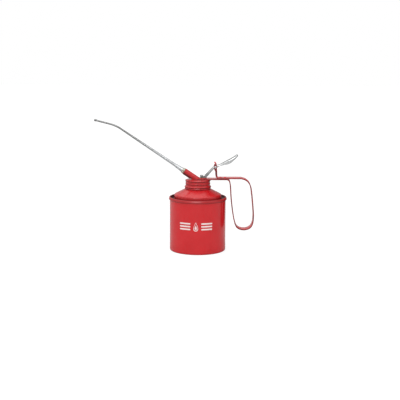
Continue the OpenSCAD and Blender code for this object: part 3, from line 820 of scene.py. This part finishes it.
def head_casting():
    """Base, boss and stem in one casting, with fillets where the boss meets the base."""
    base_r, spigot_r = 6.5, 4.75
    stem_z, spigot_z = 89.0, 85.0
    boss = moved(cylinder(BOSS_R, -8, BOSS_LEN - 0.02), on_spout(0))
    above_strip = block(-40, 20, STRIP_TOP, STRIP_TOP + 30, 10)
    base = moved(cylinder(base_r, STRIP_TOP, BASE_TOP), at(PUMP_X))
    stem = moved(cylinder(STEM_R, stem_z, STRIP_TOP + 0.2), at(PUMP_X))
    spigot = moved(cylinder(spigot_r, spigot_z, stem_z + 0.5), at(PUMP_X))
    cast = united(combined(boss, "INTERSECT", above_strip), base)
    cast = worked(cast, ("REMESH", {"mode": "VOXEL", "voxel_size": 0.22}),
                  ("SMOOTH", {"factor": 0.5, "iterations": 5}))
    cast = united(cast, stem, spigot)
    # the gland's bore runs right through, and the oil way opens at the boss's upper end
    rod, packing, flange = ROD_R + 0.05, 2.8, 3.9
    gland_bore = stepped(80, (rod, CAP_TOP - 1.6), (packing, BASE_TOP - 0.04), (flange, 120))
    oil_way = stepped(8, (1.9, 14), (2.6, 40))
    return cut(cast, moved(gland_bore, at(PUMP_X)), moved(oil_way, on_spout(0)))


def gland():
    """Packing nut with a chamfered flange."""
    z, top = CAP_TOP + 0.2, BASE_TOP + 0.45
    rod, r, flange_r = ROD_R + 0.05, 2.75, 3.7
    outline = [(rod, z), (r, z), (r, BASE_TOP), (flange_r - 0.1, BASE_TOP), (flange_r, BASE_TOP + 0.1),
               (flange_r, top - 0.13), (flange_r - 0.15, top), (rod + 0.12, top), (rod, top - 0.12)]
    return moved(lathe(outline, 96), at(PUMP_X))


def headed_pin(x, z, r, head_r, half, head_t):
    """Cross pin with a domed head at each end."""
    end = half + head_t
    dome = [(head_r, half), (head_r, half + head_t * 0.45), (head_r * 0.9, half + head_t * 0.75),
            (head_r * 0.62, end - 0.05), (0, end)]
    outline = [(q, -h) for q, h in dome[::-1]] + [(r, -half), (r, half)] + dome
    return moved(lathe(outline, 48), crosswise(x, z))


def coil_spring():
    """Round wire wound left-handed at an even pitch."""
    wire_r, coil_r, turns = 0.35, 3.3, 13
    bottom = low("return_spring").z + wire_r
    top = high("return_spring").z - wire_r
    round_wire = [2 * math.pi * k / 10 for k in range(10)]
    section = [(coil_r + wire_r * math.cos(b), wire_r * math.sin(b)) for b in round_wire]
    steps = turns * 36
    loops = []
    for i in range(steps + 1):
        a = -2 * math.pi * turns * i / steps
        z = bottom + (top - bottom) * i / steps
        loops.append([(r * math.cos(a), r * math.sin(a), z + h) for r, h in section])
    return moved(rings(loops), at(PUMP_X))


# ---------- lever ----------

# Stations along the lever, from the fork to the pad's tip.
# Each is (lower edge x, z, upper edge x, z, half width).
LEVER = [
    (2.9, 102.9, 2.9, 104.3, 4.0),
    (3.3, 102.25, 3.3, 104.95, 4.0),
    (4.0, 102.0, 4.0, 105.2, 4.0),
    (8.6, 102.0, 8.4, 105.2, 4.0),
    (11.5, 102.15, 10.0, 105.6, 4.0),
    (13.3, 103.9, 11.4, 107.0, 4.0),
    (17.3, 108.6, 15.2, 111.2, 4.0),
    (21.4, 113.3, 19.3, 115.4, 4.0),
    (24.2, 114.7, 21.8, 117.8, 4.0),
    (27.4, 116.5, 24.9, 119.1, 4.0),
    (31.0, 118.6, 29.4, 120.1, 4.3),
    (35.8, 119.9, 35.0, 123.0, 5.1),
    (40.7, 120.9, 40.0, 125.7, 6.0),
    (45.3, 122.9, 44.6, 128.0, 6.5),
    (49.9, 126.9, 48.8, 130.5, 6.3),
    (52.6, 129.5, 51.3, 132.3, 5.6),
    (54.3, 131.1, 53.0, 133.7, 4.5),
    (55.2, 132.0, 54.0, 134.3, 3.2),
    (55.6, 132.5, 54.6, 134.3, 1.8),
]


def lever_solid(margin, drop):
    """Solid under the lever's top skin. margin narrows it, and drop opens it downwards."""
    loops = []
    stations = smooth(LEVER, 4)
    if margin:
        stations = [s for s in stations if s[4] > margin + 0.6][:-1]
    for x0, z0, x1, z1, half in stations:
        up = Vector((x1 - x0, z1 - z0))
        h, up = up.length, up.normalized()
        w = half - margin
        corner = min(1.3, h * 0.45, w * 0.5) * (0.6 if margin else 1)
        dish = 0.75 * min(1, max(0, (x1 - 31) / 9)) * min(1, (half / 6.3) ** 2)
        top = h - margin
        flat = w - corner
        section = [(-w, -drop)] + arc(-flat, top - corner, corner, 180, 90, 5)
        section += [(flat * k / 6, top - dish * (1 - (k / 6) ** 2)) for k in range(-5, 6)]
        section += arc(flat, top - corner, corner, 90, 0, 5) + [(w, -drop)]
        loops.append([(x0 + up.x * q, y, z0 + up.y * q) for y, q in section])
    return rings(loops)


def lever():
    """Pressed channel: an open fork, a leg, the pivot eyes and a dished thumb pad."""
    t = 1.0
    fork_end = PUMP_X + 7
    body = cut(lever_solid(0, 0), lever_solid(t, 3))
    fork = block(fork_end - 30, fork_end, 90, 125, LEVER[0][4] - t)
    swing = math.radians(joints["trigger_pivot"]["range_deg"][1])
    lift = joints["plunger_slide"]["range_m"][1] / MM

    def pin_place(a):
        """Where the cross pin is in the lever's own frame once the lever has swung by a."""
        dx, dz = PUMP_X - PIVOT.x, PIN_Z - PIVOT.z + lift * a / swing
        c, s = math.cos(a), math.sin(a)
        return (PIVOT.x + dx * c - dz * s, PIVOT.z + dx * s + dz * c)

    track = [pin_place(swing * k / 8) for k in range(9)]
    slot = across(sheet(track, 2 * PIN_R + 0.1), -8, 8)
    eye = cross_cylinder(PIVOT.x, PIVOT.z, PIVOT_R + 0.05, 9)
    return softened(cut(body, fork, slot, eye), 0.14)


# ---------- spout ----------


def spout_line():
    """Centre line of the tube and its radius: straight, one bend, and a short straight tip."""
    inward = Vector((-SPOUT_AXIS.z, 0, SPOUT_AXIS.x))
    start = BOSS_LEN + 5
    n = 24
    out = []
    for k in range(n + 1):
        s = start + (BEND_START - start) * k / n
        r = TUBE_BASE_R + (TUBE_TIP_R - TUBE_BASE_R) * k / n
        out.append((SPOUT_FOOT + SPOUT_AXIS * s, SPOUT_AXIS, r))
    centre = out[-1][0] + inward * BEND_R
    for k in range(1, 15):
        a = math.radians(BEND_ANGLE) * k / 14
        out.append((centre + BEND_R * (SPOUT_AXIS * math.sin(a) - inward * math.cos(a)),
                    SPOUT_AXIS * math.cos(a) + inward * math.sin(a), TUBE_TIP_R))
    place, way, r = out[-1]
    return out + [(place + way * d, way, r) for d in (7, 14, TIP_LEN - 0.4)] + [
        (place + way * (TIP_LEN - 0.15), way, r - 0.06), (place + way * TIP_LEN, way, r - 0.2)]


def tube():
    """Tapered tube with its bore."""
    wall, n = 0.45, 36
    line = spout_line()

    def loop(place, way, r):
        """Circle of radius r round the centre line."""
        y_axis = Vector((0, 1, 0))
        out_of = way.cross(y_axis)
        angles = [2 * math.pi * k / n for k in range(n)]
        return [place + r * (out_of * math.cos(a) + y_axis * math.sin(a)) for a in angles]

    outside = [loop(p, w, r) for p, w, r in line]
    inside = [loop(p, w, max(r, TUBE_TIP_R) - wall) for p, w, r in line[::-1]]
    return rings(outside + inside, wrap=True)


def grooved_nut():
    """Round nut with grooves for the fingers and eased rims."""
    flutes, depth = 24, 0.2
    r, bore_r, start, end = 4.2, 2.55, 0.05, 3.0

    def grooved(a, q, z):
        """Radius with the grooves cut into the rim. The faces and the bore stay."""
        return q - depth * max(0, math.cos(flutes * a)) ** 2 if q > r - 0.2 else q

    lower = [(bore_r, start + 0.15), (bore_r + 0.15, start), (r - 0.45, start), (r - 0.12, start + 0.3),
             (r, start + 0.45)]
    upper = [(r, end - 0.45), (r - 0.12, end - 0.3), (r - 0.45, end), (bore_r + 0.15, end),
             (bore_r, end - 0.15)]
    return moved(lathe(lower + upper, flutes * 8, grooved), on_spout(BOSS_LEN))


def ferrule():
    """Tapered sleeve between the nut and the tube, with a flange."""
    foot, flange = 15, BOSS_LEN + 3
    bore_r, r, flange_r, flange_round = 1.35, 2.55, 3.1, 0.2
    outline = ([(bore_r, foot), (r - 0.15, foot), (r, foot + 0.15), (r, flange), (flange_r, flange)]
               + arc(flange_r, flange + 0.2, flange_round, -90, 0, 4)
               + arc(flange_r, flange + 1.2, flange_round, 0, 90, 4)
               + smooth([(3.05, flange + 1.7), (2.98, flange + 2.6), (2.72, flange + 6.5),
                         (2.5, flange + 10.6)], 4)
               + [(2.45, flange + 11.5), (2.36, flange + 11.85), (TUBE_BASE_R, flange + 11.95),
                  (TUBE_BASE_R, flange + 2), (bore_r, flange + 2)])
    return moved(lathe(outline, 96), on_spout(0))


def tip_collar():
    """Short collar on the tube's open end."""
    place, way, _ = spout_line()[-1]
    r, length = TUBE_TIP_R + 0.35, 3.0
    outline = [(TUBE_TIP_R, 0), (r - 0.3, 0), (r - 0.1, 0.12), (r, 0.35), (r, length - 0.35),
               (r - 0.1, length - 0.12), (r - 0.3, length), (TUBE_TIP_R, length)]
    return moved(lathe(outline, 64), along(place - way * length, way))


# ---------- the object ----------

piece("tin_body", tin_body(), "can", "red_paint", "body_shell")
piece("tin_base", tin_base(), "can", "red_paint", "base_plate")
piece("tin_shoulder", tin_shoulder(), "can", "red_paint", "shoulder", material=SHOULDER_PAINT)
piece("tin_neck", tin_neck(), "can", "red_paint", "neck_ring")
piece("front_print", oil_drop_print(), "can", "red_paint", material=INK)
piece("cap", cap_shell(), "head", "red_paint", "screw_cap", material=HEAD_PAINT)
piece("handle", handle(), "head", "red_paint", "handle_strip", material=STRIP_PAINT)
piece("rivets", rivets(), "head", "red_paint", "handle_rivets")
piece("head_casting", head_casting(), "head", "red_paint", "pump_head", material=HEAD_PAINT)
piece("packing_nut", gland(), "head", "brass", "gland_nut")
piece("lever_pin", headed_pin(PIVOT.x, PIVOT.z, PIVOT_R, head_r=1.7, half=EAR_IN + STRIP_T, head_t=0.7),
      "head", "plated", "pivot_pin")
piece("rod_pin", headed_pin(PUMP_X, PIN_Z, PIN_R, head_r=1.3, half=4.15, head_t=0.6),
      "plunger", "plated", "cross_pin", material=LEVER_PLATE)
piece("thumb_lever", lever(), "lever", "plated", "trigger_lever", material=LEVER_PLATE)
piece("spout_coupling", grooved_nut(), "spout", "plated", "spout_nut", material=NUT_PLATE)
piece("spout_sleeve", ferrule(), "spout", "plated", "spout_ferrule")
piece("spout_pipe", tube(), "spout", "plated", "spout_tube", material=SPOUT_PLATE)
piece("spout_collar", tip_collar(), "spout", "plated", "spout_tip", material=SPOUT_PLATE)

spring = piece("pump_spring", coil_spring(), "head", "steel", "return_spring")
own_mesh(spring)

kept({row["node"]: row["material_slot"] for row in frame["record"]["subparts"]})


# ---------- camera, floor and light ----------


def area(name, place, target, size, power):
    """Soft rectangular light, in metres, aimed at target."""
    data = bpy.data.lights.new(name, "AREA")
    data.shape = "RECTANGLE"
    data.size, data.size_y = size
    data.energy = power
    obj = bpy.data.objects.new(name, data)
    obj.location = place
    obj.rotation_euler = (Vector(target) - Vector(place)).to_track_quat("-Z", "Y").to_euler()
    scene.collection.objects.link(obj)


def set_camera():
    """Long lens a little above the object, in front of its printed side."""
    target = Vector((0.0031, 0, 0.070))
    distance, elevation, roll = 1.2, math.radians(9.7), math.radians(0.35)
    place = target + distance * Vector((0, -math.cos(elevation), math.sin(elevation)))
    data = bpy.data.cameras.new("camera")
    data.lens = 77.3
    data.sensor_width = 36
    data.clip_end = 50
    camera = bpy.data.objects.new("camera", data)
    look = (target - place).to_track_quat("-Z", "Y").to_matrix().to_4x4()
    camera.matrix_world = Matrix.Translation(place) @ look @ Matrix.Rotation(roll, 4, "Z")
    scene.collection.objects.link(camera)
    scene.camera = camera


def set_floor():
    """Large pale floor at table height."""
    half = 6
    bm = solid([(-half, -half, 0), (half, -half, 0), (half, half, 0), (-half, half, 0)], [(0, 1, 2, 3)])
    mesh = bpy.data.meshes.new("floor")
    bm.to_mesh(mesh)
    s = Surface("pale_floor")
    s.bump((s.noise(2, 3), 0.01))
    # a light table: to the camera it mostly glows, so that it stays white, with a faint shadow
    seen = s.tree.nodes.new("ShaderNodeLightPath").outputs["Is Camera Ray"]
    s.link((1, 1, 1, 1), s.shader.inputs["Emission Color"])
    s.link(s.math("MULTIPLY", seen, 0.84), s.shader.inputs["Emission Strength"])
    pale = s.mix(s.noise(200, 2), (0.50, 0.50, 0.50, 1), (0.53, 0.53, 0.53, 1))
    mesh.materials.append(s.paint(s.mix(s.math("MULTIPLY", seen, 0.68), pale, (0, 0, 0, 1)), 0.8))
    floor = bpy.data.objects.new("floor", mesh)
    scene.collection.objects.link(floor)


def set_world():
    """White studio: a softbox overhead, dark behind the camera and dim far behind on the right."""
    world = bpy.data.worlds.new("studio")
    world.use_nodes = True
    tree = world.node_tree
    background = tree.nodes["Background"]
    background.inputs["Color"].default_value = (1, 1, 1, 1)
    way = tree.nodes.new("ShaderNodeSeparateXYZ")
    tree.links.new(tree.nodes.new("ShaderNodeTexCoord").outputs["Generated"], way.inputs[0])

    def put(value, socket):
        """Connects a socket, or sets a number."""
        if isinstance(value, float):
            socket.default_value = value
        else:
            tree.links.new(value, socket)

    def ramp(axis, start, end, low_value, high_value):
        """Smooth step along one axis of the view direction."""
        n = tree.nodes.new("ShaderNodeMapRange")
        n.interpolation_type = "SMOOTHSTEP"
        put(way.outputs[axis], n.inputs["Value"])
        limits = {"From Min": start, "From Max": end, "To Min": low_value, "To Max": high_value}
        for key, value in limits.items():
            n.inputs[key].default_value = value
        return n.outputs["Result"]

    def combine(operation, *values):
        """Result of a Math node."""
        n = tree.nodes.new("ShaderNodeMath")
        n.operation = operation
        for value, socket in zip(values, n.inputs):
            put(value, socket)
        return n.outputs[0]

    softbox = ramp("Z", 0.50, 0.72, 0.76, 1.8)
    front = ramp("Y", -0.92, -0.45, 0.35, 1.0)
    back_right = combine("MULTIPLY", ramp("X", 0.05, 0.45, 0.0, 0.75), ramp("Y", -0.1, 0.4, 0.0, 1.0))
    back = combine("MULTIPLY", ramp("Y", 0.0, 0.6, 1.0, 0.8), combine("SUBTRACT", 1.0, back_right))
    light = combine("MULTIPLY", softbox, combine("MULTIPLY", front, back))
    seen = tree.nodes.new("ShaderNodeLightPath").outputs["Is Camera Ray"]
    strength = combine("ADD", combine("MULTIPLY", light, combine("SUBTRACT", 1.0, seen)), seen)
    tree.links.new(strength, background.inputs["Strength"])
    scene.world = world


set_camera()
set_floor()
set_world()
area("key", place=(-0.15, -1.2, 0.8), target=(0, 0, 0.06), size=(0.9, 0.5), power=7.5)
scene.view_settings.view_transform = "Standard"
